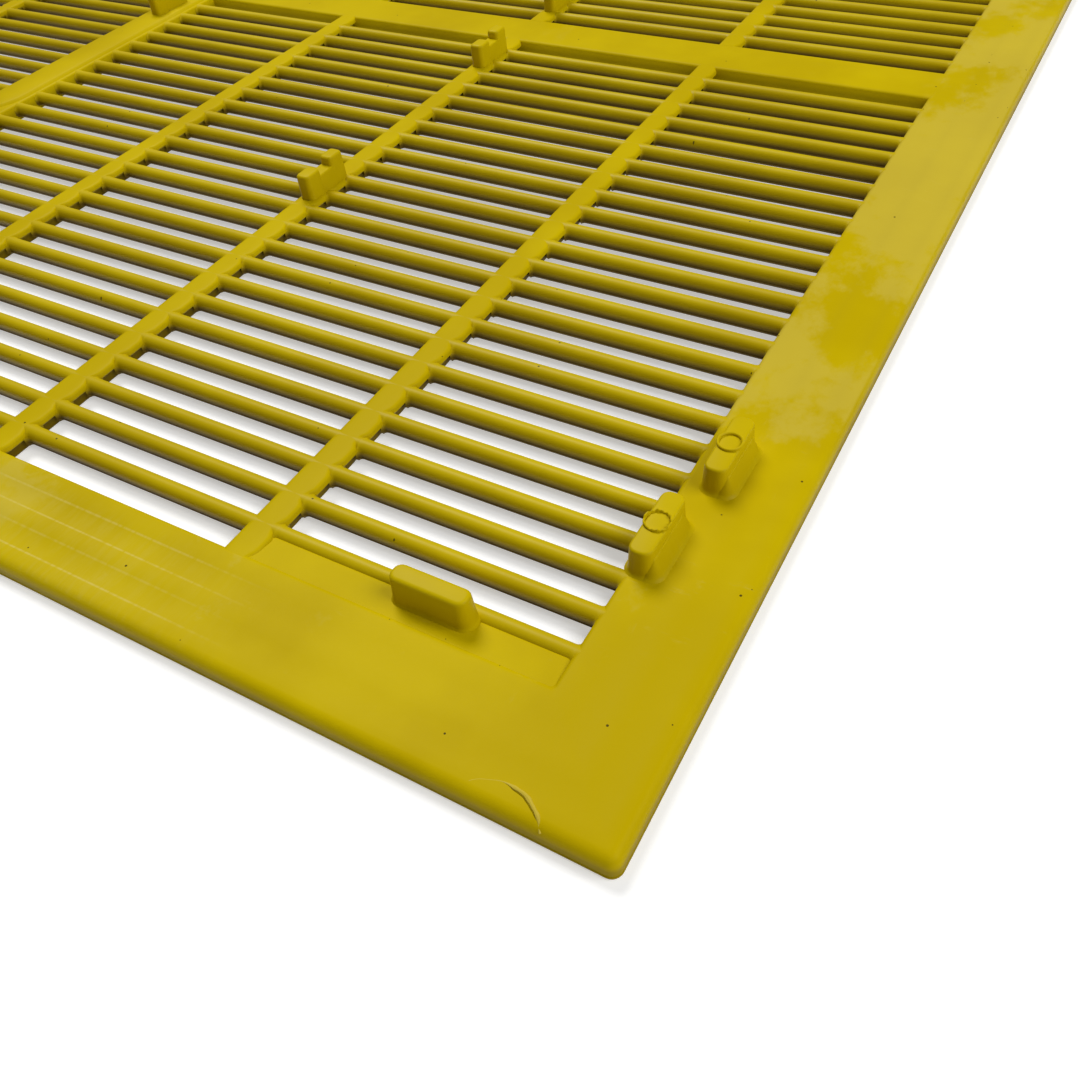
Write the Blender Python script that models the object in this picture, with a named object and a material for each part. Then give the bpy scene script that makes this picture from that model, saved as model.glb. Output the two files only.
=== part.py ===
"""Queen excluder for a ten-frame beehive.

A flat moulded grille that lies between two hive boxes. The long slots let worker bees
through and stop the wider queen. The model is split into the moulding's members: four
border rails, a centre rail and a cross rail, four quarter grilles of bars on ribs, the
corner webs, and the lugs that stand on the top side.

Units are metres. X runs along the bars, Y across them, Z up. The origin is at the centre
of the underside. Each member keeps GAP to its neighbours, so that no two solids touch.
"""

import math

import bmesh
import bpy
from mathutils import Matrix, Vector

# Overall size, which follows the outside of the hive box.
LENGTH = 0.506
WIDTH = 0.418
THICKNESS = 0.0040

# Border rails.
BORDER_WIDTH = 0.0188
OUTER_EDGE_RADIUS = 0.0012
INNER_EDGE_CHAMFER = 0.0006
CORNER_RADIUS = 0.0015

# Rails that divide the grille into quarters.
CENTRE_RAIL_WIDTH = 0.0132
CROSS_RAIL_WIDTH = 0.0146
RAIL_CHAMFER = 0.0008

# Raised strip on the middle part of the centre rail.
STRIP_WIDTH = 0.0094
STRIP_RISE = 0.0007
STRIP_CHAMFER = 0.0003

# Bars and the slots between them. The slot is the bee gap, so the bar count follows it.
# The bars stop short of the underside by their clearance.
BAR_WIDTH = 0.0030
BAR_CLEARANCE = 0.0007
BEE_GAP = 0.0044
EDGE_SLOT_EXTRA = 0.0006

# Ribs that tie the bars together.
RIBS_PER_QUARTER = 3
RIB_WIDTH = 0.0052
RIB_CHAMFER = 0.0007
RIB_DROP = 0.00025

# Webs that close the first slot of each corner bay.
WEB_RECESS = 0.0008
WEB_UNDERSIDE = 0.0004

# Oblong lugs on the border and on the webs.
LUG_LENGTH = 0.0137
LUG_WIDTH = 0.0040
LUG_HEIGHT = 0.0050
LUG_EDGE = 0.0005
END_LUG_FROM_SLOTS = 0.0218
END_LUG_ON_BAR = 0.0014
SIDE_LUG_OUTER_INSET = 0.0284
SIDE_LUG_SPACING = 0.0197
SIDE_LUG_OUTER_SHIFT = 0.0019
SIDE_LUG_INNER_SHIFT = 0.0050

# Saddle lugs on the ribs and on the centre rail: two round posts on one foot.
SADDLE_WIDTH = 0.0048
SADDLE_HEIGHT = 0.0060
SADDLE_DIP = 0.0020
POST_RADIUS = 0.0026
POST_FLARE = 0.0006
SADDLE_RIB = 1

GAP = 0.0003
YELLOW = (0.52, 0.40, 0.004, 1.0)
ROUGHNESS = 0.38
ARC_STEPS = 6

# Sizes that follow from the ones above.
INNER_X = LENGTH / 2 - BORDER_WIDTH
INNER_Y = WIDTH / 2 - BORDER_WIDTH
SPAN_Y = INNER_Y - CROSS_RAIL_WIDTH / 2
BARRED_Y = SPAN_Y - 2 * EDGE_SLOT_EXTRA
BAR_COUNT = round((BARRED_Y - BEE_GAP) / (BAR_WIDTH + BEE_GAP))
SLOT = (BARRED_Y - BAR_COUNT * BAR_WIDTH) / (BAR_COUNT + 1)
BAR_PITCH = BAR_WIDTH + SLOT
FREE_X = INNER_X - CENTRE_RAIL_WIDTH / 2 - RIBS_PER_QUARTER * RIB_WIDTH
BAY = FREE_X / (RIBS_PER_QUARTER + 1)
BAR_HEIGHT = THICKNESS - BAR_CLEARANCE
BAR_CENTRE_Z = THICKNESS - BAR_HEIGHT / 2
RIB_TOP = THICKNESS - RIB_DROP
LUG_SEAT = THICKNESS + GAP
OUTER_SADDLE_BAR = BAR_COUNT // 2
INNER_SADDLE_BAR = BAR_COUNT - 2

SIDES_X = {"left": -1, "right": 1}
SIDES_Y = {"front": -1, "rear": 1}


def clear_scene():
    for old in list(bpy.data.objects):
        bpy.data.objects.remove(old, do_unlink=True)


def new_collection(name):
    collection = bpy.data.collections.new(name)
    bpy.context.scene.collection.children.link(collection)
    return collection


def plastic(name):
    material = bpy.data.materials.new(name + "_plastic")
    material.use_nodes = True
    shader = material.node_tree.nodes["Principled BSDF"]
    shader.inputs["Base Color"].default_value = YELLOW
    shader.inputs["Roughness"].default_value = ROUGHNESS
    shader.inputs["Metallic"].default_value = 0.0
    material.diffuse_color = YELLOW
    return material


def add_object(name, mesh, collection, matrix=Matrix.Identity(4)):
    piece = bpy.data.objects.new(name, mesh)
    piece.matrix_world = matrix
    collection.objects.link(piece)
    mesh.materials.append(plastic(name))
    return piece


def as_cutter(piece):
    piece.hide_render = True
    piece.display_type = "WIRE"
    return piece


def box_into(bm, low, high):
    """Adds a box between two corners and returns its vertices."""
    size = Vector(high) - Vector(low)
    centre = (Vector(high) + Vector(low)) / 2
    matrix = Matrix.Translation(centre) @ Matrix.Diagonal((*size, 1.0))
    return bmesh.ops.create_cube(bm, size=1.0, matrix=matrix)["verts"]


def bevel_where(bm, chosen, width, segments):
    """Bevels the edges for which chosen(midpoint, direction) is true."""
    edges = []
    for edge in bm.edges:
        start, end = (vertex.co for vertex in edge.verts)
        if chosen((start + end) / 2, (end - start).normalized()):
            edges.append(edge)
    bmesh.ops.bevel(bm, geom=edges, offset=width, segments=segments, profile=0.5, affect="EDGES")


def mesh_from(bm, name):
    mesh = bpy.data.meshes.new(name)
    bmesh.ops.recalc_face_normals(bm, faces=bm.faces)
    bm.to_mesh(mesh)
    bm.free()
    return mesh


def smooth(piece, angle=35.0):
    piece.data.shade_smooth()
    piece.data.set_sharp_from_angle(angle=math.radians(angle))


def arc(centre, radius, start, end, steps=ARC_STEPS):
    """Points along a circular arc, in degrees, as (x, y) pairs."""
    points = []
    for step in range(steps + 1):
        angle = math.radians(start + (end - start) * step / steps)
        points.append((centre[0] + radius * math.cos(angle), centre[1] + radius * math.sin(angle)))
    return points


def solid_from_outline(name, points, thickness):
    """A flat outline in local XY, extruded evenly to both sides of Z = 0, as a welded mesh."""
    curve = bpy.data.curves.new(name, "CURVE")
    curve.dimensions = "2D"
    curve.fill_mode = "BOTH"
    curve.extrude = thickness / 2
    spline = curve.splines.new("POLY")
    spline.points.add(len(points) - 1)
    for point, (x, y) in zip(spline.points, points):
        point.co = (x, y, 0.0, 1.0)
    spline.use_cyclic_u = True
    holder = bpy.data.objects.new(name, curve)
    bpy.context.scene.collection.objects.link(holder)
    graph = bpy.context.evaluated_depsgraph_get()
    mesh = bpy.data.meshes.new_from_object(holder.evaluated_get(graph))
    bpy.data.objects.remove(holder, do_unlink=True)
    bm = bmesh.new()
    bm.from_mesh(mesh)
    bpy.data.meshes.remove(mesh)
    bmesh.ops.remove_doubles(bm, verts=bm.verts, dist=1e-6)
    return bm


def add_side_rail(side, collection):
    """A border rail along Y, which runs the full width and carries the rounded corners."""
    sign = SIDES_X[side]
    outer = sign * LENGTH / 2
    inner = sign * INNER_X
    bm = bmesh.new()
    box_into(bm, (min(outer, inner), -WIDTH / 2, 0.0), (max(outer, inner), WIDTH / 2, THICKNESS))

    def is_corner(middle, direction):
        return abs(direction.z) > 0.9 and abs(middle.x - outer) < GAP

    def is_outer_top(middle, direction):
        on_outside = abs(middle.x - outer) < CORNER_RADIUS or abs(middle.y) > WIDTH / 2 - CORNER_RADIUS
        return abs(direction.z) < 0.1 and middle.z > THICKNESS - GAP and on_outside

    bevel_where(bm, is_corner, CORNER_RADIUS, 3)
    bevel_where(bm, is_outer_top, OUTER_EDGE_RADIUS, 2)
    piece = add_object(side + "_rail", mesh_from(bm, side + "_rail"), collection)
    smooth(piece)


def add_end_rail(side, collection):
    """A border rail along X, fitted between the two side rails."""
    sign = SIDES_Y[side]
    outer = sign * WIDTH / 2
    inner = sign * INNER_Y
    reach = INNER_X - GAP
    bm = bmesh.new()
    box_into(bm, (-reach, min(outer, inner), 0.0), (reach, max(outer, inner), THICKNESS))

    def is_top_along_x(middle, direction):
        return abs(direction.x) > 0.9 and middle.z > THICKNESS - GAP

    def is_outer(middle, direction):
        return is_top_along_x(middle, direction) and abs(middle.y - outer) < GAP

    def is_inner(middle, direction):
        return is_top_along_x(middle, direction) and abs(middle.y - inner) < GAP

    bevel_where(bm, is_outer, OUTER_EDGE_RADIUS, 2)
    bevel_where(bm, is_inner, INNER_EDGE_CHAMFER, 1)
    piece = add_object(side + "_rail", mesh_from(bm, side + "_rail"), collection)
    smooth(piece)


def add_chamfered_rail(name, low, high, top_edge_axis, chamfer, collection):
    """A rail whose two long top edges are chamfered. top_edge_axis is 0 for X and 1 for Y."""
    bm = bmesh.new()
    box_into(bm, low, high)

    def is_long_top(middle, direction):
        return abs(direction[top_edge_axis]) > 0.9 and middle.z > high[2] - GAP

    bevel_where(bm, is_long_top, chamfer, 1)
    add_object(name, mesh_from(bm, name), collection)


def add_centre_rail(collection):
    half = CENTRE_RAIL_WIDTH / 2
    reach = INNER_Y - GAP
    low = (-half, -reach, 0.0)
    high = (half, reach, THICKNESS)
    add_chamfered_rail("centre_rail", low, high, 1, RAIL_CHAMFER, collection)


def add_centre_strip(collection):
    """The raised strip, which reaches past the inner saddle lugs on both sides."""
    half = STRIP_WIDTH / 2
    reach = bar_y(OUTER_SADDLE_BAR)
    low = (-half, -reach, LUG_SEAT)
    high = (half, reach, THICKNESS + STRIP_RISE)
    add_chamfered_rail("centre_strip", low, high, 1, STRIP_CHAMFER, collection)


def add_cross_rail(side, collection):
    sign = SIDES_X[side]
    near = sign * (CENTRE_RAIL_WIDTH / 2 + GAP)
    far = sign * (INNER_X - GAP)
    half = CROSS_RAIL_WIDTH / 2
    low = (min(near, far), -half, 0.0)
    high = (max(near, far), half, THICKNESS)
    add_chamfered_rail("cross_rail_" + side, low, high, 0, RAIL_CHAMFER, collection)


def bar_y(index):
    """Distance of a bar's centre line from the object's middle. Bar 0 is next to the border."""
    return INNER_Y - EDGE_SLOT_EXTRA - SLOT - BAR_WIDTH / 2 - index * BAR_PITCH


def rib_x(index):
    """Distance of a rib's centre line from the object's middle. Rib 0 is next to the border."""
    return INNER_X - BAY - RIB_WIDTH / 2 - index * (BAY + RIB_WIDTH)


def bars_mesh(name, sign_x, sign_y):
    """The bars of one quarter, as six-sided rods along X."""
    near = CENTRE_RAIL_WIDTH / 2 + GAP
    far = INNER_X - GAP
    middle_x = sign_x * (near + far) / 2
    height_scale = BAR_HEIGHT / 2 / math.sin(math.radians(60))
    shape = Matrix.Diagonal((far - near, BAR_WIDTH / 2, height_scale, 1.0))
    along_x = Matrix.Rotation(math.radians(90), 4, "Y")
    bm = bmesh.new()
    for index in range(BAR_COUNT):
        place = Matrix.Translation((middle_x, sign_y * bar_y(index), BAR_CENTRE_Z))
        matrix = place @ shape @ along_x
        bmesh.ops.create_cone(
            bm, cap_ends=True, segments=6, radius1=1.0, radius2=1.0, depth=1.0, matrix=matrix)
    return mesh_from(bm, name)


def ribs_mesh(name, sign_x, sign_y):
    """The ribs of one quarter, which run along Y and are chamfered on top."""
    near = CROSS_RAIL_WIDTH / 2 + GAP
    far = INNER_Y - GAP
    bm = bmesh.new()
    for index in range(RIBS_PER_QUARTER):
        middle = sign_x * rib_x(index)
        low_y = min(sign_y * near, sign_y * far)
        high_y = max(sign_y * near, sign_y * far)
        box_into(bm, (middle - RIB_WIDTH / 2, low_y, 0.0), (middle + RIB_WIDTH / 2, high_y, RIB_TOP))

    def is_long_top(middle, direction):
        return abs(direction.y) > 0.9 and middle.z > RIB_TOP - GAP / 2

    bevel_where(bm, is_long_top, RIB_CHAMFER, 1)
    return mesh_from(bm, name)


def add_grille(side_x, side_y, collection, cutters):
    """One quarter of the grille: the bars joined to the ribs that carry them."""
    name = "grille_" + side_y + "_" + side_x
    sign_x = SIDES_X[side_x]
    sign_y = SIDES_Y[side_y]
    bars_name = name + "_bars"
    bars = as_cutter(add_object(bars_name, bars_mesh(bars_name, sign_x, sign_y), cutters))
    grille = add_object(name, ribs_mesh(name, sign_x, sign_y), collection)
    join = grille.modifiers.new("bars", "BOOLEAN")
    join.operation = "UNION"
    join.solver = "EXACT"
    join.object = bars


def add_web(side_x, side_y, collection):
    """The recessed plate that closes the slot between the border and bar 0 in a corner bay."""
    sign_x = SIDES_X[side_x]
    sign_y = SIDES_Y[side_y]
    x_range = sorted((sign_x * (rib_x(0) + RIB_WIDTH / 2 + GAP), sign_x * (INNER_X - GAP)))
    y_range = sorted((sign_y * (bar_y(0) + BAR_WIDTH / 2 + GAP), sign_y * (INNER_Y - GAP)))
    bm = bmesh.new()
    top = THICKNESS - WEB_RECESS
    box_into(bm, (x_range[0], y_range[0], WEB_UNDERSIDE), (x_range[1], y_range[1], top))
    name = "corner_web_" + side_y + "_" + side_x
    add_object(name, mesh_from(bm, name), collection)


def oblong_mesh(name, height):
    """A lug with half-round ends along X, its foot at Z = 0 and its top edge rounded."""
    half_run = (LUG_LENGTH - LUG_WIDTH) / 2
    radius = LUG_WIDTH / 2
    outline = arc((half_run, 0.0), radius, -90, 90) + arc((-half_run, 0.0), radius, 90, 270)
    bm = solid_from_outline(name, outline, height)
    bmesh.ops.translate(bm, verts=bm.verts, vec=(0.0, 0.0, height / 2))

    def is_top(middle, direction):
        on_rim = math.hypot(max(abs(middle.x) - half_run, 0.0), middle.y) > radius * 0.95
        return middle.z > height - GAP and on_rim

    bevel_where(bm, is_top, LUG_EDGE, 1)
    return mesh_from(bm, name)


def add_side_lugs(side_x, side_y, collection):
    """Two lugs along a side rail, near one corner. The inner one stands further out."""
    sign_x = SIDES_X[side_x]
    sign_y = SIDES_Y[side_y]
    first_y = INNER_Y - SIDE_LUG_OUTER_INSET
    places = {
        "outer": (INNER_X + SIDE_LUG_OUTER_SHIFT, first_y),
        "inner": (INNER_X + SIDE_LUG_INNER_SHIFT, first_y - SIDE_LUG_SPACING),
    }
    quarter_turn = Matrix.Rotation(math.radians(90), 4, "Z")
    for position, (x, y) in places.items():
        name = "side_lug_" + side_y + "_" + side_x + "_" + position
        matrix = Matrix.Translation((sign_x * x, sign_y * y, LUG_SEAT)) @ quarter_turn
        smooth(add_object(name, oblong_mesh(name, LUG_HEIGHT - GAP), collection, matrix))


def add_end_lug(side_x, side_y, collection, cutters):
    """The lug that stands on a corner web and leans over bar 0."""
    sign_x = SIDES_X[side_x]
    sign_y = SIDES_Y[side_y]
    name = "end_lug_" + side_y + "_" + side_x
    foot = THICKNESS - WEB_RECESS + GAP
    bar_edge = bar_y(0) + BAR_WIDTH / 2
    centre_y = bar_edge - END_LUG_ON_BAR + LUG_WIDTH / 2
    centre_x = INNER_X - END_LUG_FROM_SLOTS
    matrix = Matrix.Translation((sign_x * centre_x, sign_y * centre_y, foot))
    mesh = oblong_mesh(name, THICKNESS + LUG_HEIGHT - foot)
    lug = add_object(name, mesh, collection, matrix)
    smooth(lug)

    bm = bmesh.new()
    y_range = sorted((sign_y * (bar_edge - BAR_WIDTH), sign_y * (bar_edge + GAP)))
    low = (sign_x * centre_x - LUG_LENGTH, y_range[0], 0.0)
    high = (sign_x * centre_x + LUG_LENGTH, y_range[1], LUG_SEAT)
    box_into(bm, low, high)
    cutter_name = name + "_bar_clearance"
    cutter = as_cutter(add_object(cutter_name, mesh_from(bm, cutter_name), cutters))
    cut = lug.modifiers.new("bar_clearance", "BOOLEAN")
    cut.operation = "DIFFERENCE"
    cut.solver = "EXACT"
    cut.object = cutter


def saddle_outline(height):
    """Side view of a saddle lug: local X runs across the bars and local Y is up."""
    post = BAR_PITCH / 2
    crown = height - POST_RADIUS
    foot = post + POST_RADIUS + POST_FLARE
    dip = height - SADDLE_DIP
    right_crown = arc((post, crown), POST_RADIUS, 0, 140)
    left_crown = arc((-post, crown), POST_RADIUS, 40, 180)
    return [(-foot, 0.0), (foot, 0.0)] + right_crown + [(0.0, dip)] + left_crown


def add_saddle(name, x, y, seat, collection):
    """A saddle lug, whose posts stand one bar pitch apart across the bars."""
    height = THICKNESS + SADDLE_HEIGHT - seat
    bm = solid_from_outline(name, saddle_outline(height), SADDLE_WIDTH)
    upright = Matrix.Rotation(math.radians(90), 4, "Z") @ Matrix.Rotation(math.radians(90), 4, "X")
    matrix = Matrix.Translation((x, y, seat)) @ upright
    smooth(add_object(name, mesh_from(bm, name), collection, matrix))


def add_saddles(collection):
    """Saddle lugs on the second rib of each quarter, and on the centre rail."""
    outer_y = bar_y(OUTER_SADDLE_BAR) - BAR_PITCH / 2 + SLOT / 2
    inner_y = bar_y(INNER_SADDLE_BAR) - BAR_PITCH / 2 + SLOT / 2
    for side_y, sign_y in SIDES_Y.items():
        name = "saddle_lug_" + side_y + "_centre"
        add_saddle(name, 0.0, sign_y * inner_y, LUG_SEAT + STRIP_RISE, collection)
        for side_x, sign_x in SIDES_X.items():
            x = sign_x * rib_x(SADDLE_RIB)
            stem = "saddle_lug_" + side_y + "_" + side_x
            add_saddle(stem + "_outer", x, sign_y * outer_y, LUG_SEAT, collection)
            add_saddle(stem + "_inner", x, sign_y * inner_y, LUG_SEAT, collection)


def build():
    clear_scene()
    collection = new_collection("queen_excluder")
    cutters = new_collection("cutters")
    for side_x in SIDES_X:
        add_side_rail(side_x, collection)
        add_cross_rail(side_x, collection)
    for side_y in SIDES_Y:
        add_end_rail(side_y, collection)
    add_centre_rail(collection)
    add_centre_strip(collection)
    for side_y in SIDES_Y:
        for side_x in SIDES_X:
            add_grille(side_x, side_y, collection, cutters)
            add_web(side_x, side_y, collection)
            add_end_lug(side_x, side_y, collection, cutters)
            add_side_lugs(side_x, side_y, collection)
    add_saddles(collection)


build()
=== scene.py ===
"""Looks of the queen excluder: one yellow moulding on a pale studio floor.

Every piece is built around the CAD nodes it stands for. Lengths are metres, and MM turns
millimetres into metres.
"""

import math

import bmesh
import bpy
from mathutils import Matrix, Vector

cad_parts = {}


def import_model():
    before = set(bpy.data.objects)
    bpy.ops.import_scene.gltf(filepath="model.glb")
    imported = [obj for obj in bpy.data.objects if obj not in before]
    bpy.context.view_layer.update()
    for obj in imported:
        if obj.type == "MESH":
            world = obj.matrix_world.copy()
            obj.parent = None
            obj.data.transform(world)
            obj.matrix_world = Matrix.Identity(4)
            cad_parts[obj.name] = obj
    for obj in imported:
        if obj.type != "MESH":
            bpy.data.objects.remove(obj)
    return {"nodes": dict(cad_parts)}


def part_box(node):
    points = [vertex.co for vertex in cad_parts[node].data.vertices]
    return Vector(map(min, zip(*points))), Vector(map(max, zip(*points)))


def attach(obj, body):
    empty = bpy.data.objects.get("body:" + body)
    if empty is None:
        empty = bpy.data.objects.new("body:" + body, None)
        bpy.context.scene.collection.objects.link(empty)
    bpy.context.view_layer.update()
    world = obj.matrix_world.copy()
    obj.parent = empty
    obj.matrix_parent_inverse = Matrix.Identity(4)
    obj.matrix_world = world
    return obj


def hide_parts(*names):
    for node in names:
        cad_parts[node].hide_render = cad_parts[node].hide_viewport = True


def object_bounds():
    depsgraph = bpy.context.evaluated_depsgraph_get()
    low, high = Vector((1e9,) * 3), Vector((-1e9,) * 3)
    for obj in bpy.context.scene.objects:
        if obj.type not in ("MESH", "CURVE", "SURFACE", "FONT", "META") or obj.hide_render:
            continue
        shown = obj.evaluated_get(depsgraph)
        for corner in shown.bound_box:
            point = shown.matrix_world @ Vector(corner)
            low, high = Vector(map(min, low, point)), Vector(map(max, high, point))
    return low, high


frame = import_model()
cad_low, cad_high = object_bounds()

MM = 0.001
SIDES_X = {"left": -1, "right": 1}
SIDES_Y = {"front": -1, "rear": 1}

# Places taken from the CAD nodes. The rear right quarter is used, where X and Y are positive.
HALF_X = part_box("right_rail")[1].x
HALF_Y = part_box("right_rail")[1].y
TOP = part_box("right_rail")[1].z
INNER_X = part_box("right_rail")[0].x
INNER_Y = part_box("rear_rail")[0].y
CENTRE_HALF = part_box("centre_rail")[1].x
CROSS_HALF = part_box("cross_rail_right")[1].y
WEB_LOW, WEB_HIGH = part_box("corner_web_rear_right")
GAP = INNER_X - WEB_HIGH.x
RIBS = 3
BAY = INNER_X - (WEB_LOW.x - GAP)
RIB_WIDTH = (INNER_X - CENTRE_HALF - (RIBS + 1) * BAY) / RIBS
BARS = 24
BAR_HALF = 1.5 * MM
FIRST_BAR = WEB_LOW.y - GAP - BAR_HALF
LAST_BAR = CROSS_HALF + INNER_Y - FIRST_BAR
PITCH = (FIRST_BAR - LAST_BAR) / (BARS - 1)

CORNER_RADIUS = 1.7 * MM
SLOT_CORNER = 0.7 * MM
OUTER_ROUND = 1.8 * MM


# ---------------------------------------------------------------- meshes


def finish_mesh(bm, name, angle=38.0):
    mesh = bpy.data.meshes.new(name)
    bmesh.ops.recalc_face_normals(bm, faces=bm.faces)
    bm.to_mesh(mesh)
    bm.free()
    mesh.shade_smooth()
    mesh.set_sharp_from_angle(angle=math.radians(angle))
    return mesh


def loft(bm, rings, ring_closed=False, capped=True):
    """Joins rings of equal length with quads. A ring is a closed loop of points."""
    loops = [[bm.verts.new(point) for point in ring] for ring in rings]
    count = len(loops[0])
    pairs = list(zip(loops, loops[1:]))
    if ring_closed:
        pairs.append((loops[-1], loops[0]))
    for one, two in pairs:
        for i in range(count):
            j = (i + 1) % count
            bm.faces.new((one[i], one[j], two[j], two[i]))
    if capped and not ring_closed:
        bm.faces.new(loops[0])
        bm.faces.new(loops[-1])


def rounded_rectangle(half_x, half_y, radius, steps=5):
    points = []
    for corner in range(4):
        sx = 1 if corner in (0, 3) else -1
        sy = 1 if corner in (0, 1) else -1
        for step in range(steps + 1):
            angle = math.radians(90 * corner + 90 * step / steps)
            x = sx * (half_x - radius) + radius * math.cos(angle)
            y = sy * (half_y - radius) + radius * math.sin(angle)
            points.append((x, y))
    return points


def smoothstep(low, high, value):
    t = min(max((value - low) / (high - low), 0.0), 1.0)
    return t * t * (3 - 2 * t)


def make(name, bm, material, *nodes, angle=38.0):
    piece = bpy.data.objects.new(name, finish_mesh(bm, name, angle))
    bpy.context.scene.collection.objects.link(piece)
    piece.data.materials.append(material)
    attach(piece, "root")
    if nodes:
        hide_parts(*nodes)
    return piece


# ---------------------------------------------------------------- materials


class Nodes:
    """Short forms for wiring a material's node tree."""

    def __init__(self, material):
        self.tree = material.node_tree

    def add(self, kind, **settings):
        node = self.tree.nodes.new(kind)
        for key, value in settings.items():
            if hasattr(node, key):
                setattr(node, key, value)
            else:
                node.inputs[key.replace("_", " ")].default_value = value
        return node

    def link(self, output, socket):
        self.tree.links.new(output, socket)

    def math(self, operation, a, b=0.0, clamp=False):
        node = self.add("ShaderNodeMath", operation=operation, use_clamp=clamp)
        for socket, value in zip(node.inputs, (a, b)):
            if isinstance(value, (int, float)):
                socket.default_value = value
            else:
                self.link(value, socket)
        return node.outputs[0]

    def ramp(self, value, low, high):
        """0 below low and 1 above high, smooth between."""
        node = self.add("ShaderNodeMapRange", interpolation_type="SMOOTHSTEP")
        self.link(value, node.inputs["Value"])
        node.inputs["From Min"].default_value = low
        node.inputs["From Max"].default_value = high
        return node.outputs["Result"]

    def noise(self, vector, scale, detail=3.0, rough=0.55):
        node = self.add("ShaderNodeTexNoise", Scale=scale, Detail=detail, Roughness=rough)
        self.link(vector, node.inputs["Vector"])
        return node.outputs["Fac"]

    def stretch(self, vector, scale, turn=0.0):
        node = self.add("ShaderNodeMapping", Scale=scale)
        node.inputs["Rotation"].default_value = (0.0, 0.0, turn)
        self.link(vector, node.inputs["Vector"])
        return node.outputs[0]

    def mix(self, factor, one, two):
        node = self.add("ShaderNodeMix", data_type="RGBA")
        self.link(factor, node.inputs[0])
        for socket, value in ((node.inputs[6], one), (node.inputs[7], two)):
            if isinstance(value, tuple):
                socket.default_value = value
            else:
                self.link(value, socket)
        return node.outputs[2]


DEEP = (0.478, 0.348, 0.0004, 1.0)
BRIGHT = (0.545, 0.408, 0.0006, 1.0)
CHALK_AND_SHEEN = (0.545, 0.430, 0.060, 1.0)
# Pale colour for painted highlights on the border's steps and the torn edge.
PALE_HIGHLIGHT = (0.660, 0.550, 0.150, 1.0)
# Painted shade colour, for the low flanks and the crevice.
PAINTED_SHADE = (0.085, 0.052, 0.0008, 1.0)
SPECK = (0.050, 0.036, 0.006, 1.0)

# (inset from the border's outer edge in mm, strength) of each painted highlight line along the
# border's steps.
STEP_HIGHLIGHTS = ((3.7, 1.0), (7.6, 0.45), (10.8, 0.9), (14.6, 0.7))
# (inset from the outer edge, drop below the top), in mm, across the border's shallow steps.
STEP_SECTION = (
    (3.5, 0.0), (3.8, 0.10), (7.4, 0.10), (7.7, 0.02), (10.6, 0.02), (10.9, 0.12),
    (14.4, 0.12), (14.7, 0.03), (16.9, 0.03))


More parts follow.
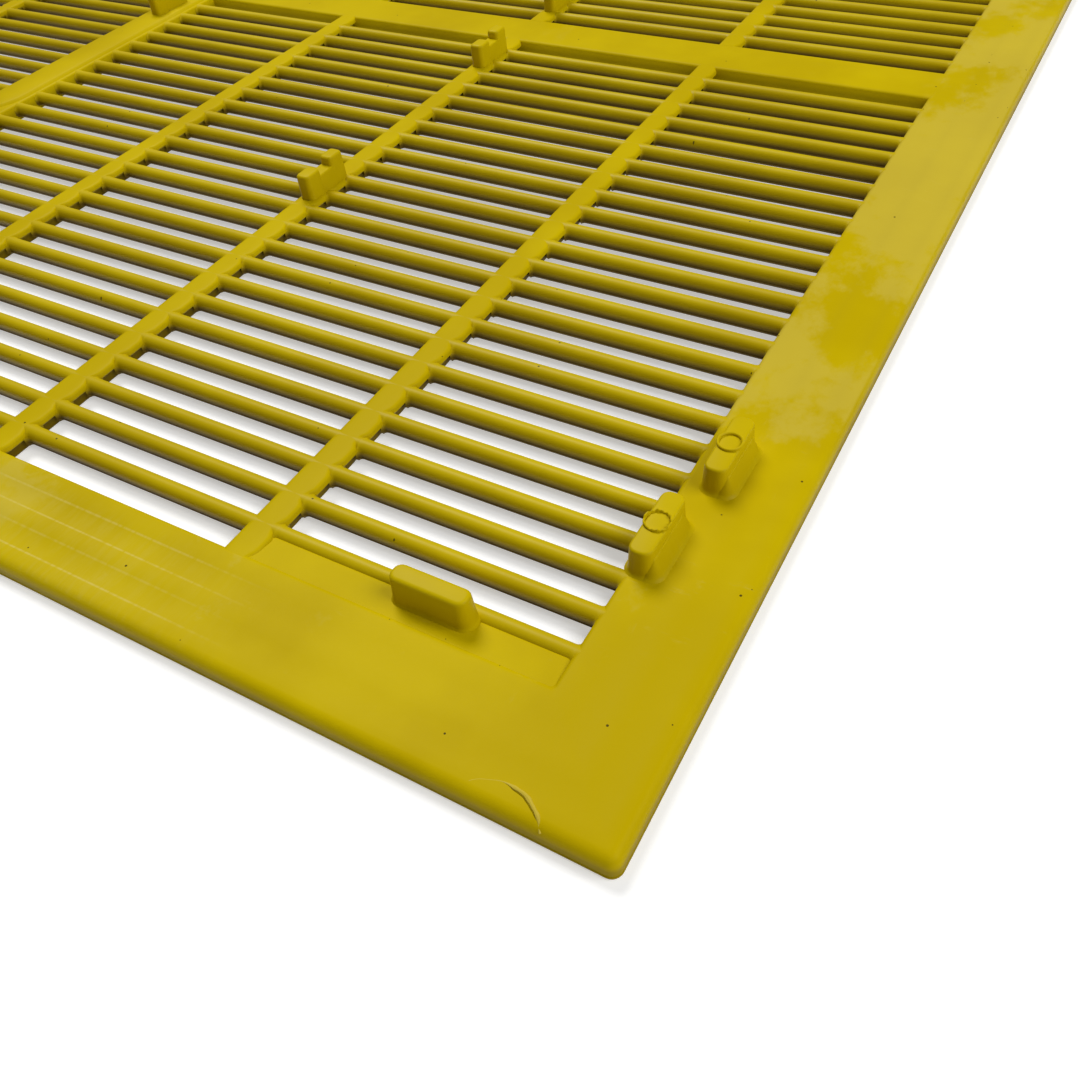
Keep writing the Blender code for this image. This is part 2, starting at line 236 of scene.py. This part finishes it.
def yellow_moulding(
        name, chalk_and_sheen=0.0, smear=0.0, grain=1.0, shine=0.1, step_highlights=0.0, low_shade=0.0, shade=0.0, pale=0.0):
    """Satin injection-moulded plastic.

    It has a slight colour drift, chalky wear, smears and specks, and a painted sheen on the left of
    the front border. Step highlights are painted highlights along the border's steps, low shade is
    painted shade on the low sides, shade darkens the whole colour as painted shadow and pale makes
    it paler as painted highlight.
    """
    material = bpy.data.materials.new(name)
    material.use_nodes = True
    net = Nodes(material)
    shader = net.tree.nodes["Principled BSDF"]
    place = net.add("ShaderNodeTexCoord").outputs["Object"]
    split = net.add("ShaderNodeSeparateXYZ")
    net.link(place, split.inputs[0])
    x, y, z = split.outputs

    drift = net.ramp(net.noise(place, 26.0, 4.0), 0.36, 0.66)
    colour = net.mix(drift, DEEP, BRIGHT)
    # Painted shadow: shade darkens the whole colour towards the painted shade colour.
    if shade:
        depth = net.math("ADD", 0.80 * shade, net.math("MULTIPLY", drift, 0.15))
        colour = net.mix(depth, colour, PAINTED_SHADE)
    # Painted highlight: pale lifts the whole colour towards the pale highlight colour.
    if pale:
        depth = net.math("ADD", 0.75 * pale, net.math("MULTIPLY", drift, 0.20))
        colour = net.mix(depth, colour, PALE_HIGHLIGHT)

    # Chalky wear on flat tops only, most on the right border. The pale patch on the left of the
    # front border is painted sheen.
    cloud = net.noise(net.stretch(place, (1.0, 0.75, 1.0), 0.5), 42.0, 8.0, 0.66)
    patch = net.noise(place, 13.0, 2.0, 0.5)
    beside = net.ramp(y, -0.150, -0.085)
    right = net.math("MULTIPLY", net.ramp(x, 0.225, 0.236), beside)
    front_y = net.math("MULTIPLY", y, -1.0)
    left_x = net.math("MULTIPLY", x, -1.0)
    front = net.math("MULTIPLY", net.ramp(front_y, 0.190, 0.196), net.ramp(left_x, -0.200, -0.150))
    area = net.math("MAXIMUM", right, net.math("MULTIPLY", front, 0.3))
    area = net.math("ADD", net.math("MULTIPLY", area, 0.22), net.math("MULTIPLY", patch, 0.35))
    wear_and_sheen = net.ramp(net.math("ADD", cloud, area), 0.79, 0.885)
    flat = net.ramp(z, TOP - 0.6 * MM, TOP - 0.2 * MM)
    hair = net.noise(net.stretch(place, (900.0, 160.0, 200.0), 0.9), 1.0, 4.0, 0.7)
    hairy = net.math("ADD", 0.25, net.math("MULTIPLY", net.ramp(hair, 0.35, 0.7), 0.75))
    # Painted sheen: pale streaks on the left of the front border, where light glances off the top.
    sheen_scuffs = net.math("MULTIPLY", front, hairy)
    sheen_scuffs = net.math("MULTIPLY", sheen_scuffs, net.ramp(cloud, 0.15, 0.75))
    wear_and_sheen = net.math("MAXIMUM", wear_and_sheen, sheen_scuffs)
    wear_and_sheen = net.math("MULTIPLY", net.math("MULTIPLY", wear_and_sheen, flat), chalk_and_sheen)

    # Painted highlights: pale lines along the border's shallow steps, where light catches the step
    # edges. They stay clear of the side borders.
    step_highlight_mask = None
    if step_highlights:
        to_side = net.math("SUBTRACT", HALF_X, net.math("ABSOLUTE", x))
        to_end = net.math("SUBTRACT", HALF_Y, net.math("ABSOLUTE", y))
        inset = net.math("MINIMUM", to_side, to_end)
        sway = net.math("MULTIPLY", net.math("SUBTRACT", net.noise(place, 9.0, 2.0), 0.5), 0.5 * MM)
        inset = net.math("ADD", inset, sway)
        away = net.math("MULTIPLY", net.ramp(to_side, 60 * MM, 90 * MM), 0.75)
        for at, weight in STEP_HIGHLIGHTS:
            off = net.math("ABSOLUTE", net.math("SUBTRACT", inset, at * MM))
            line = net.math("SUBTRACT", 1.0, net.ramp(off, 0.04 * MM, 0.30 * MM))
            line = net.math("MULTIPLY", net.math("MULTIPLY", line, away), weight * step_highlights)
            line = net.math("MULTIPLY", line, net.ramp(hair, 0.25, 0.60))
            step_highlight_mask = line if step_highlight_mask is None else net.math("MAXIMUM", step_highlight_mask, line)
    colour = net.mix(wear_and_sheen, colour, CHALK_AND_SHEEN)
    if step_highlight_mask is not None:
        colour = net.mix(step_highlight_mask, colour, PALE_HIGHLIGHT)

    # Rubbed streaks in two directions.
    streak_a = net.noise(net.stretch(place, (150.0, 620.0, 150.0), 0.6), 1.0, 5.0, 0.7)
    streak_b = net.noise(net.stretch(place, (520.0, 90.0, 120.0), 0.25), 1.0, 4.0, 0.7)
    rubbed = net.math("MULTIPLY", net.ramp(streak_a, 0.60, 0.78), net.ramp(cloud, 0.48, 0.60))
    rubbed = net.math("MAXIMUM", rubbed, net.math("MULTIPLY", net.ramp(streak_b, 0.66, 0.82), 0.6))
    rubbed = net.math("MULTIPLY", rubbed, smear)
    colour = net.mix(rubbed, colour, CHALK_AND_SHEEN)

    # Painted shade: the colour darkens towards the bottom of every side below the top, where the low
    # flanks lie in shade.
    if low_shade:
        low = net.math("SUBTRACT", 1.0, net.ramp(z, TOP - 2.4 * MM, TOP - 0.7 * MM))
        low = net.math("MULTIPLY", low, net.math("ADD", 0.85, net.math("MULTIPLY", cloud, 0.25)))
        colour = net.mix(net.math("MULTIPLY", low, low_shade, True), colour, PAINTED_SHADE)

    # Sparse dark specks, each a shallow pit.
    cells = net.add("ShaderNodeTexVoronoi", voronoi_dimensions="2D", Scale=115.0)
    net.link(place, cells.inputs["Vector"])
    draw = net.add("ShaderNodeSeparateColor")
    net.link(cells.outputs["Color"], draw.inputs[0])
    chosen = net.math("GREATER_THAN", draw.outputs[0], 0.80)
    size = net.math("MULTIPLY", draw.outputs[1], 0.016)
    near = net.math("LESS_THAN", cells.outputs["Distance"], net.math("ADD", size, 0.008))
    speck = net.math("MULTIPLY", chosen, near)
    colour = net.mix(net.math("MULTIPLY", speck, 0.9), colour, SPECK)
    net.link(colour, shader.inputs["Base Color"])

    fine = net.noise(place, 1900.0, 2.0, 0.6)
    orange = net.noise(place, 420.0, 3.0, 0.5)
    rough = net.math("ADD", 0.31, net.math("MULTIPLY", fine, 0.08 * grain))
    rough = net.math("ADD", rough, net.math("MULTIPLY", cloud, 0.10))
    rough = net.math("ADD", rough, net.math("MULTIPLY", net.math("MAXIMUM", wear_and_sheen, rubbed), 0.22))
    net.link(rough, shader.inputs["Roughness"])

    first = net.add("ShaderNodeBump", Strength=0.10 * grain, Distance=0.00006)
    net.link(fine, first.inputs["Height"])
    second = net.add("ShaderNodeBump", Strength=0.22, Distance=0.00012)
    net.link(orange, second.inputs["Height"])
    net.link(first.outputs[0], second.inputs["Normal"])
    third = net.add("ShaderNodeBump", Strength=0.5, Distance=0.0001)
    third.invert = True
    net.link(speck, third.inputs["Height"])
    net.link(second.outputs[0], third.inputs["Normal"])
    net.link(third.outputs[0], shader.inputs["Normal"])

    shader.inputs["IOR"].default_value = 1.49
    shader.inputs["Specular IOR Level"].default_value = shine
    return material


border_plastic = yellow_moulding(
    "yellow_border", chalk_and_sheen=0.50, smear=0.50, shine=0.02, step_highlights=0.60, low_shade=0.5)
rail_plastic = yellow_moulding("yellow_rails", chalk_and_sheen=0.15, smear=0.25, shine=0.02, low_shade=0.5)
bar_plastic = yellow_moulding("yellow_bars", smear=0.10, shine=0.09, low_shade=1.0)
rib_plastic = yellow_moulding("yellow_ribs", smear=0.10, shine=0.02, low_shade=0.95)
lug_plastic = yellow_moulding("yellow_lugs", smear=0.15, grain=0.7, shine=0.05)
# Pale torn edge: paler plastic, in part a painted highlight on the lit wall of the groove.
torn_edge_highlight_plastic = yellow_moulding("yellow_torn_edge_highlight", shine=0.05, pale=0.35)
# Painted shadow: a dark strip standing in for the shaded wall of the groove by the flash.
crevice_shadow_plastic = yellow_moulding("yellow_crevice_shadow", shine=0.02, shade=0.75)


# ---------------------------------------------------------------- border


def border_section():
    """(inset from the outer edge, height, step drop) up the outside and back underneath."""
    section = [(0.7, 0.0, 0), (0.22, 0.0, 0), (0.05, 0.1, 0), (0.0, 0.25, 0), (0.0, 0.5, 0)]
    section += [(0.09, 0.6, 0), (0.09, 0.9, 0)]
    section = [(inset * MM, height * MM, drop) for inset, height, drop in section]
    for step in range(7):
        angle = math.radians(90 * step / 6)
        inset = 0.09 * MM * (1 - step / 6) + OUTER_ROUND * (1 - math.cos(angle))
        section.append((inset, TOP - OUTER_ROUND * (1 - math.sin(angle)), 0))
    section += [(at * MM, TOP, drop * MM) for at, drop in STEP_SECTION]
    width = HALF_X - INNER_X
    for step in range(6):
        angle = math.radians(90 * step / 5)
        inset = width - 0.95 * MM * (1 - math.sin(angle))
        section.append((inset, TOP - 0.65 * MM * (1 - math.cos(angle)), 0))
    section += [(width + 0.1 * MM, 0.3 * MM, 0), (width - 0.3 * MM, 0.0, 0)]
    return section


def frame_loop(inset, height, drop):
    """A rounded rectangle round the whole border. The steps fade out towards the corners."""
    half_x = HALF_X - inset
    half_y = HALF_Y - inset
    radius = max(CORNER_RADIUS - inset, SLOT_CORNER)
    outline = []
    for corner in range(4):
        sx = 1 if corner in (0, 3) else -1
        sy = 1 if corner in (0, 1) else -1
        for step in range(7):
            angle = math.radians(90 * corner + 15 * step)
            px = sx * (half_x - radius) + radius * math.cos(angle)
            py = sy * (half_y - radius) + radius * math.sin(angle)
            outline.append((px, py))
        turn = (corner + 1) % 4
        tx = (1 if turn in (0, 3) else -1) * (half_x - radius)
        ty = (1 if turn in (0, 1) else -1) * (half_y - radius)
        end = math.radians(90 * turn)
        goal = (tx + radius * math.cos(end), ty + radius * math.sin(end))
        start = outline[-1]
        for step in range(1, 40):
            share = step / 40
            px = start[0] + (goal[0] - start[0]) * share
            py = start[1] + (goal[1] - start[1]) * share
            outline.append((px, py))
    points = []
    for px, py in outline:
        along_x = 1 - smoothstep(168 * MM, 184 * MM, abs(px))
        along_y = 1 - smoothstep(120 * MM, 150 * MM, abs(py))
        share = 0.22 + 0.78 * max(along_x, along_y)
        points.append((px, py, height - drop * share))
    return points


def border():
    bm = bmesh.new()
    loft(bm, [frame_loop(*spot) for spot in border_section()], ring_closed=True)
    rails = [name + "_rail" for name in ("front", "rear", "left", "right")]
    make("border_moulding", bm, border_plastic, *rails)


# ---------------------------------------------------------------- rails


def rail_section(half, top, edge):
    """Half-rounded top edges over slightly drafted sides, as (across, height) pairs."""
    points = [(half - 0.2 * MM, 0.0), (half, 0.25 * MM)]
    for step in range(6):
        angle = math.radians(90 * step / 5)
        across = half - 0.15 * MM - edge * (1 - math.cos(angle))
        points.append((across, top - 0.7 * edge * (1 - math.sin(angle))))
    return points + [(-across, height) for across, height in reversed(points)]


def centre_rail():
    reach = INNER_Y + 0.9 * MM
    section = rail_section(CENTRE_HALF, TOP - 0.02 * MM, 1.0 * MM)
    bm = bmesh.new()
    rings = []
    for step in range(41):
        y = -reach + 2 * reach * step / 40
        rings.append([(across, y, height) for across, height in section])
    loft(bm, rings)
    make("centre_rail_moulding", bm, rail_plastic, "centre_rail")


def centre_strip():
    """The raised strip on the centre rail. It narrows to a blunt point at each end."""
    low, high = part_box("centre_strip")
    half = high.x
    rise = high.z - TOP
    bm = bmesh.new()
    rings = []
    taper = 9 * MM
    for step in range(61):
        y = low.y + (high.y - low.y) * step / 60
        close = min(y - low.y, high.y - y)
        share = 0.25 + 0.75 * smoothstep(0.0, taper, close)
        lift = rise * smoothstep(-1.0 * MM, 4 * MM, close)
        wide = half * share
        foot = wide + 0.9 * MM
        right = [(foot, -0.3 * MM), (foot, -0.03 * MM)]
        right += [(wide + 0.25 * MM, 0.75 * lift), (wide - 0.25 * MM, lift)]
        left = [(-across, height) for across, height in reversed(right)]
        section = right + [(0.0, lift)] + left
        rings.append([(across, y, TOP + height) for across, height in section])
    loft(bm, rings)
    make("centre_strip_moulding", bm, rail_plastic, "centre_strip")


def cross_rail(side):
    sign = SIDES_X[side]
    near = CENTRE_HALF - 1.2 * MM
    far = INNER_X + 0.9 * MM
    section = rail_section(CROSS_HALF, TOP - 0.03 * MM, 1.0 * MM)
    bm = bmesh.new()
    rings = []
    for step in range(31):
        x = sign * (near + (far - near) * step / 30)
        rings.append([(x, across, height) for across, height in section])
    loft(bm, rings)
    make("cross_rail_moulding_" + side, bm, rail_plastic, "cross_rail_" + side)


# ---------------------------------------------------------------- grilles


def bar_section():
    """A round top over tall flanks with a thin parting ledge low down.

    Its points are (across, height against the crest).
    """
    half = 1.48 * MM
    points = []
    for step in range(15):
        angle = math.pi * step / 14
        points.append((half * math.cos(angle), -1.45 * MM * (1 - math.sin(angle))))
    left = [(-1.47, -2.1), (-1.45, -2.42), (-1.54, -2.48), (-1.53, -2.62)]
    left += [(-1.40, -2.68), (-1.22, -3.1), (-0.8, -3.28)]
    lower = [(across * MM, depth * MM) for across, depth in left]
    return points + lower + [(-across, depth) for across, depth in reversed(lower)]


def bar_stations():
    """(distance from the middle, widening, crest drop) along a bar, from the centre rail out."""
    radius = 0.75 * MM
    spread = []
    for share in (0.0, 0.08, 0.22, 0.45, 0.75, 1.0):
        t = radius * share
        spread.append((t, radius - math.sqrt(max(radius ** 2 - (radius - t) ** 2, 0.0))))
    stations = [(CENTRE_HALF - 0.9 * MM, 0.0, 0.05 * MM), (CENTRE_HALF - 0.3 * MM, 0.0, 0.02 * MM)]
    start = CENTRE_HALF
    ribs = sorted(rib_middle(index) for index in range(RIBS))
    half = RIB_WIDTH / 2
    for middle in ribs + [None]:
        end = INNER_X if middle is None else middle - half
        stations += [(start + t, wide, 0.0) for t, wide in spread]
        run = end - start
        stations += [(start + run * share, 0.0, 0.0) for share in (0.25, 0.5, 0.75)]
        stations += [(end - t, wide, 0.0) for t, wide in reversed(spread)]
        if middle is None:
            stations += [(INNER_X + 0.3 * MM, 0.0, 0.0), (INNER_X + 1.0 * MM, 0.0, 0.02 * MM)]
            stations.append((INNER_X + 1.9 * MM, -0.6 * MM, 0.12 * MM))
        else:
            stations += [(middle - half + 0.3 * MM, 0.0, 0.0), (middle, 0.0, 0.03 * MM)]
            stations.append((middle + half - 0.3 * MM, 0.0, 0.0))
            start = middle + half
    return stations


def rib_middle(index):
    return INNER_X - BAY - RIB_WIDTH / 2 - index * (BAY + RIB_WIDTH)


def rib_section():
    """A flat top with soft shoulders over a narrower stem, as (across, height) pairs."""
    top = TOP - 0.04 * MM
    right = [(1.3, -4.0), (1.5, -3.8), (1.6, -3.0), (1.75, -2.2)]
    right += [(2.1, -1.7), (2.7, -1.35), (2.95, -1.05)]
    right += [(2.95, -0.75), (2.84, -0.42), (2.62, -0.18), (2.3, -0.05), (1.8, 0.0), (0.6, 0.0)]
    points = [(across * MM, max(top + height * MM, 0.0)) for across, height in right]
    return points + [(-across, height) for across, height in reversed(points)]


def rib_narrowing(y):
    """How far a rib's outer side draws in beside a bar. It leaves a rounded tongue in each slot."""
    count = (y - FIRST_BAR) / PITCH
    from_bar = abs(count - round(count)) * PITCH
    reach = min(max((from_bar - 0.8 * BAR_HALF) / (1.0 * MM), 0.0), 1.0)
    return 0.7 * MM * (1 - math.sqrt(max(1 - (1 - reach) ** 2, 0.0)))


def grille(side_x, side_y):
    sign_x = SIDES_X[side_x]
    sign_y = SIDES_Y[side_y]
    bm = bmesh.new()
    section = bar_section()
    stations = bar_stations()
    for index in range(BARS):
        middle_y = FIRST_BAR - index * PITCH
        wobble = 0.06 * MM * math.sin(index * 2.3 + sign_x + 2 * sign_y)
        rings = []
        for x, wide, drop in stations:
            bend = wobble * math.sin(math.pi * (x - CENTRE_HALF) / (INNER_X - CENTRE_HALF))
            ring = []
            for across, depth in section:
                share = 1 + wide / BAR_HALF * (0.35 + 0.65 * smoothstep(0.0, 1.2 * MM, -depth))
                y = sign_y * (middle_y + across * share + bend)
                z = TOP + depth - drop * smoothstep(-3.0 * MM, 0.0, depth) - 0.01 * MM
                ring.append((sign_x * x, y, z))
            rings.append(ring)
        loft(bm, rings)
    name = side_y + "_" + side_x
    make("bar_moulding_" + name, bm, bar_plastic, "grille_" + name, angle=32.0)

    bm = bmesh.new()
    ribs = rib_section()
    near = CROSS_HALF - 0.9 * MM
    far = INNER_Y + 1.0 * MM
    steps = 10 * BARS
    for index in range(RIBS):
        rings = []
        for step in range(steps + 1):
            y = near + (far - near) * step / steps
            draw_in = rib_narrowing(y)
            ring = []
            for across, height in ribs:
                edge = draw_in * smoothstep(1.2 * MM, 2.2 * MM, across)
                ring.append((sign_x * (rib_middle(index) + across - edge), sign_y * y, height))
            rings.append(ring)
        loft(bm, rings)
    make("rib_moulding_" + name, bm, rib_plastic, "grille_" + name)


# ---------------------------------------------------------------- webs and lugs


def web(side_x, side_y):
    """The thin plate beside the border in a corner bay. Its top falls slightly towards bar 0."""
    name = side_y + "_" + side_x
    low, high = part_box("corner_web_" + name)
    middle = (low + high) / 2
    half_x = (high.x - low.x) / 2 + 1.2 * MM
    half_y = (high.y - low.y) / 2 + 1.1 * MM
    sign_y = SIDES_Y[side_y]
    bm = bmesh.new()
    rings = []
    for inset, depth in ((0.4, None), (0.0, None), (0.0, 0.1), (0.12, 0.0), (1.0, 0.0)):
        ring = []
        for px, py in rounded_rectangle(half_x - inset * MM, half_y - inset * MM, 0.3 * MM):
            towards_border = sign_y * py / half_y
            slope = TOP - (0.55 - 0.30 * towards_border) * MM
            height = (0.35 if inset else 0.6) * MM if depth is None else slope - depth * MM
            ring.append((middle.x + px, middle.y + py, height))
        rings.append(ring)
    loft(bm, rings)
    make("web_moulding_" + name, bm, border_plastic, "corner_web_" + name)


def lug_into(
        bm, centre, half_x, half_y, foot, top, plan_radius, edge, lean=0.22 * MM, flare=0.55 * MM):
    """A drafted block with a flared foot and a rounded top edge."""
    spots = [(foot - 0.5 * MM, flare), (foot - 0.05 * MM, flare), (foot + 0.18 * MM, 0.5 * flare)]
    spots += [(foot + 0.45 * MM, 0.2 * flare), (foot + 0.9 * MM, 0.0)]
    for step in range(6):
        angle = math.radians(90 * step / 5)
        spots.append((top - edge * (1 - math.sin(angle)), -lean - edge * (1 - math.cos(angle))))
    rings = []
    for height, grow in spots:
        radius = max(plan_radius + grow, 0.25 * MM)
        outline = rounded_rectangle(half_x + grow, half_y + grow, radius)
        rings.append([(centre[0] + px, centre[1] + py, height) for px, py in outline])
    loft(bm, rings)


def ring_into(bm, centre, base, radius, wall, rise, tears=0.0, start=0.0, sweep=360.0):
    """A raised collar left by an ejector pin. Tears make its rim uneven."""
    count = 64
    whole = sweep >= 360.0
    rings = []
    for step in range(count if whole else count + 1):
        share = step / count
        angle = math.radians(start + sweep * share)
        ragged = math.sin(5 * angle + 0.7) * math.sin(11 * angle + 1.9)
        ragged += 0.15 * math.sin(17 * angle)
        tall = rise * (1 + tears * ragged)
        thick = wall * (1 + 0.5 * tears * ragged)
        if not whole:
            tall *= max(math.sin(math.pi * share), 0.1)
        reach = radius + tears * 0.25 * wall * math.sin(7 * angle)
        shape = [(thick, -0.1 * MM), (thick, 0.75 * tall), (0.5 * thick, tall)]
        shape += [(-0.3 * thick, tall), (-thick, 0.7 * tall), (-1.3 * thick, -0.1 * MM)]
        ring = []
        for out, up in shape:
            far = reach + out
            px = centre[0] + far * math.cos(angle)
            py = centre[1] + far * math.sin(angle)
            ring.append((px, py, base + up))
        rings.append(ring)
    loft(bm, rings, ring_closed=whole, capped=not whole)


def side_lug(side_x, side_y, position):
    name = side_y + "_" + side_x + "_" + position
    low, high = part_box("side_lug_" + name)
    sign_x = SIDES_X[side_x]
    sign_y = SIDES_Y[side_y]
    middle = (low + high) / 2
    half_x = (high.x - low.x) / 2
    half_y = (high.y - low.y) / 2
    bm = bmesh.new()
    spot = (middle.x, middle.y)
    lug_into(bm, spot, half_x + 0.12 * MM, half_y, TOP, high.z, 1.7 * MM, 0.5 * MM)
    ramp = (middle.x + sign_x * (half_x - 0.55 * MM), middle.y + sign_y * 0.4 * MM)
    ramp_top = TOP + 0.66 * (high.z - TOP)
    lug_into(
        bm, ramp, 1.6 * MM, half_y - 0.6 * MM, TOP, ramp_top, 1.5 * MM, 0.5 * MM,
        lean=0.85 * MM, flare=0.8 * MM)
    if position == "outer":
        ring_into(bm, spot, high.z, 1.98 * MM, 0.16 * MM, 0.40 * MM, tears=0.45)
    else:
        ring_into(bm, spot, high.z, 1.92 * MM, 0.20 * MM, 0.42 * MM)
        crescent = (spot[0] - 0.3 * MM, spot[1] - 0.1 * MM)
        ring_into(bm, crescent, high.z, 1.45 * MM, 0.12 * MM, 0.2 * MM, start=110, sweep=150)
    make("side_lug_moulding_" + name, bm, lug_plastic, "side_lug_" + name)


def end_lug(side_x, side_y):
    name = side_y + "_" + side_x
    low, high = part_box("end_lug_" + name)
    middle = (low + high) / 2
    half_x = (high.x - low.x) / 2
    half_y = (high.y - low.y) / 2
    foot = TOP - 0.5 * MM
    bm = bmesh.new()
    spot = (middle.x, middle.y)
    lug_into(
        bm, spot, half_x, half_y, foot, high.z, 1.75 * MM, 0.7 * MM,
        lean=0.3 * MM, flare=0.35 * MM)
    make("end_lug_moulding_" + name, bm, lug_plastic, "end_lug_" + name)


def saddle(node):
    """Two blunt posts joined by a lower web, with a foot that spreads onto the rib."""
    low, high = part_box(node)
    middle = (low + high) / 2
    half_x = (high.x - low.x) / 2
    half_y = (high.y - low.y) / 2
    seat = TOP - 0.9 * MM
    toward = 1 if middle.y > 0 else -1
    post = 0.37 * half_y
    bm = bmesh.new()
    near = (middle.x, middle.y + toward * (half_y - post))
    far = (middle.x, middle.y - toward * (half_y - post - 0.15 * MM))
    wide = half_x - 0.40 * MM
    lug_into(
        bm, near, wide, post, seat, high.z - 0.45 * MM, 1.3 * MM, 0.7 * MM,
        lean=0.1 * MM, flare=0.4 * MM)
    lug_into(
        bm, far, wide - 0.1 * MM, post - 0.1 * MM, seat, high.z, 1.2 * MM, 0.7 * MM,
        lean=0.15 * MM, flare=0.8 * MM)
    web_top = TOP + 0.68 * (high.z - TOP)
    spot = (middle.x, middle.y)
    lug_into(
        bm, spot, wide - 0.12 * MM, half_y - post, seat, web_top, 1.2 * MM, 0.5 * MM,
        lean=0.1 * MM)
    make(node.replace("saddle_lug", "saddle_moulding"), bm, lug_plastic, node, angle=45.0)


def flash(name, material, shift, size):
    """A torn crescent with a thin tail, on the front border near the right corner."""
    middle = Vector((HALF_X - 16.6 * MM, -HALF_Y - 3.5 * MM))
    bm = bmesh.new()
    rings = []
    for step in range(41):
        share = step / 40
        angle = math.radians(132 - 101 * share)
        torn = 1 + 0.18 * math.sin(31 * share) + 0.12 * math.sin(67 * share + 1)
        body = smoothstep(0.30, 0.55, share) * (1 - 0.55 * smoothstep(0.75, 1.0, share))
        wide = (0.06 + 0.26 * body * torn) * MM * size
        rise = (0.025 + 0.26 * body * torn) * MM * size
        reach = (7.25 + shift * body) * MM + 0.05 * MM * math.sin(23 * share)
        falls = smoothstep(-HALF_Y + 1.7 * MM, -HALF_Y, middle.y + reach * math.sin(angle))
        ring = []
        for turn in range(8):
            a = 2 * math.pi * turn / 8
            far = reach + wide * math.cos(a)
            height = TOP - 0.02 * MM + rise * math.sin(a) - 0.9 * MM * falls
            px = middle.x + far * math.cos(angle)
            py = middle.y + far * math.sin(angle)
            ring.append((px, py, height))
        rings.append(ring)
    loft(bm, rings)
    make(name, bm, material)


border()
centre_rail()
centre_strip()
for side_x in SIDES_X:
    cross_rail(side_x)
    for side_y in SIDES_Y:
        grille(side_x, side_y)
        web(side_x, side_y)
        end_lug(side_x, side_y)
        side_lug(side_x, side_y, "outer")
        side_lug(side_x, side_y, "inner")
for node in sorted(frame["nodes"]):
    if node.startswith("saddle_lug"):
        saddle(node)
# The torn ridge is pale, in part a painted highlight.
flash("border_flash", torn_edge_highlight_plastic, 0.0, 1.0)
# Painted shadow: a dark strip along the groove's shaded wall.
flash("border_flash_crevice_shadow", crevice_shadow_plastic, -0.33, 0.36)


# ---------------------------------------------------------------- studio


def floor():
    material = bpy.data.materials.new("studio_floor")
    material.use_nodes = True
    net = Nodes(material)
    shader = net.tree.nodes["Principled BSDF"]
    place = net.add("ShaderNodeTexCoord").outputs["Object"]
    tone = net.ramp(net.noise(place, 6.0, 2.0), 0.3, 0.7)
    tint = net.mix(tone, (0.67, 0.67, 0.665, 1.0), (0.69, 0.69, 0.685, 1.0))
    net.link(tint, shader.inputs["Base Color"])
    shader.inputs["Roughness"].default_value = 0.9
    shader.inputs["Emission Color"].default_value = (1.0, 1.0, 1.0, 1.0)
    shader.inputs["Emission Strength"].default_value = 0.46
    shader.inputs["Specular IOR Level"].default_value = 0.1
    bm = bmesh.new()
    bmesh.ops.create_grid(bm, x_segments=8, y_segments=8, size=30.0)
    bmesh.ops.translate(bm, verts=bm.verts, vec=(0.0, 0.0, cad_low.z - 0.2 * MM))
    piece = bpy.data.objects.new("studio_floor", finish_mesh(bm, "studio_floor"))
    bpy.context.scene.collection.objects.link(piece)
    piece.data.materials.append(material)


def area_light(name, place, aim, size, power, colour=(1.0, 1.0, 1.0)):
    light = bpy.data.lights.new(name, "AREA")
    light.shape = "DISK"
    light.size = size
    light.energy = power
    light.color = colour
    lamp = bpy.data.objects.new(name, light)
    lamp.location = place
    lamp.rotation_euler = (Vector(aim) - Vector(place)).to_track_quat("-Z", "Y").to_euler()
    bpy.context.scene.collection.objects.link(lamp)


def world():
    sky = bpy.data.worlds.new("studio")
    sky.use_nodes = True
    background = sky.node_tree.nodes["Background"]
    background.inputs["Color"].default_value = (1.0, 1.0, 1.0, 1.0)
    background.inputs["Strength"].default_value = 0.11
    bpy.context.scene.world = sky


def camera():
    """Stands over the front right corner and looks down along the grille."""
    azimuth = math.radians(34.75)
    elevation = math.radians(47.74)
    roll = math.radians(-7.16)
    forward = Vector((
        -math.sin(azimuth) * math.cos(elevation),
        math.cos(azimuth) * math.cos(elevation),
        -math.sin(elevation)))
    level = Vector((math.cos(azimuth), math.sin(azimuth), 0.0))
    upright = level.cross(forward)
    right = level * math.cos(roll) + upright * math.sin(roll)
    up = upright * math.cos(roll) - level * math.sin(roll)
    corner = Vector((HALF_X, -HALF_Y, TOP))
    place = corner + Vector((23.3, -40.7, 108.9)) * MM
    matrix = Matrix((right, up, -forward)).transposed().to_4x4()
    matrix.translation = place
    data = bpy.data.cameras.new("camera")
    data.sensor_width = 36.0
    data.lens = 32.67
    data.clip_start = 0.005
    view = bpy.data.objects.new("camera", data)
    view.matrix_world = matrix
    bpy.context.scene.collection.objects.link(view)
    bpy.context.scene.camera = view


floor()
world()
area_light("key_light", (-0.55, 0.50, 1.30), (0.1, -0.05, 0.0), 0.8, 19.0)
area_light("side_light", (1.15, -0.05, 0.95), (0.0, 0.0, 0.0), 1.0, 12.0)
camera()
bpy.context.scene.view_settings.view_transform = "Standard"
bpy.context.scene.view_settings.look = "None"
